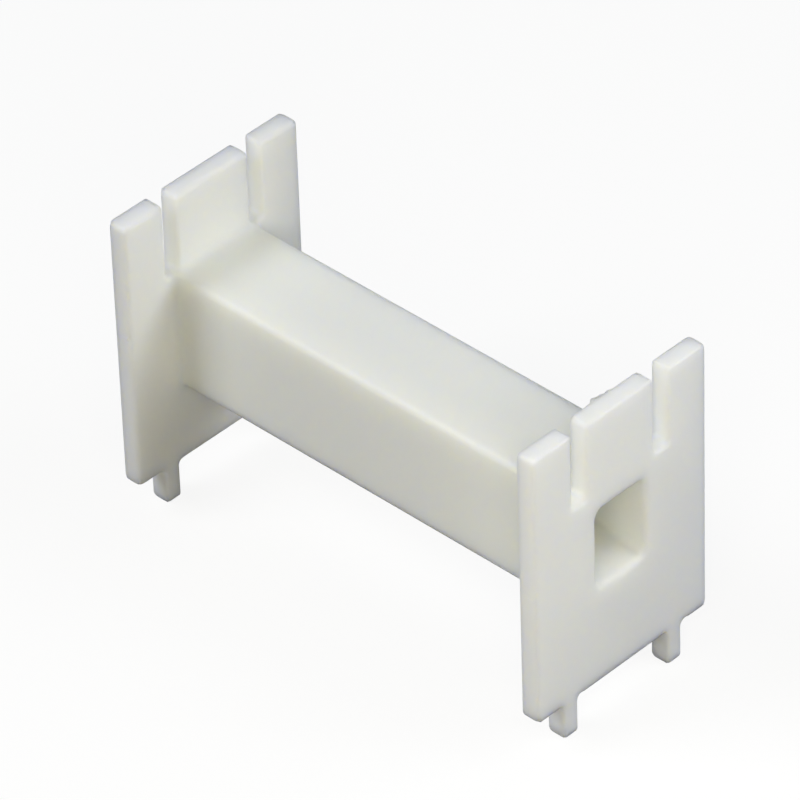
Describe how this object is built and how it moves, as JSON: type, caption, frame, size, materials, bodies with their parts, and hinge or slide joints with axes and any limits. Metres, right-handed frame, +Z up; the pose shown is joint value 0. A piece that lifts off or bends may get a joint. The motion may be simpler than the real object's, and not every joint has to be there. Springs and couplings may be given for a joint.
{
  "type": "transformer bobbin",
  "caption": "Moulded nylon bobbin: a hollow rectangular tube between slotted end flanges with locating pegs underneath, to carry a winding around a transformer's core leg.",
  "frame": {"origin": "under the middle of the bobbin, level with the tips of its pegs", "axes": "+X along the tube and its core window, +Y across the flanges, +Z up from the pegs to the lead slots"},
  "size_m": [0.05, 0.0216, 0.0325],
  "materials": {
    "nylon": "satin, milky and slightly translucent, ivory where it is thick or shaded"
  },
  "bodies": {
    "root": {"bobbin": "nylon"}
  },
  "joints": []
}
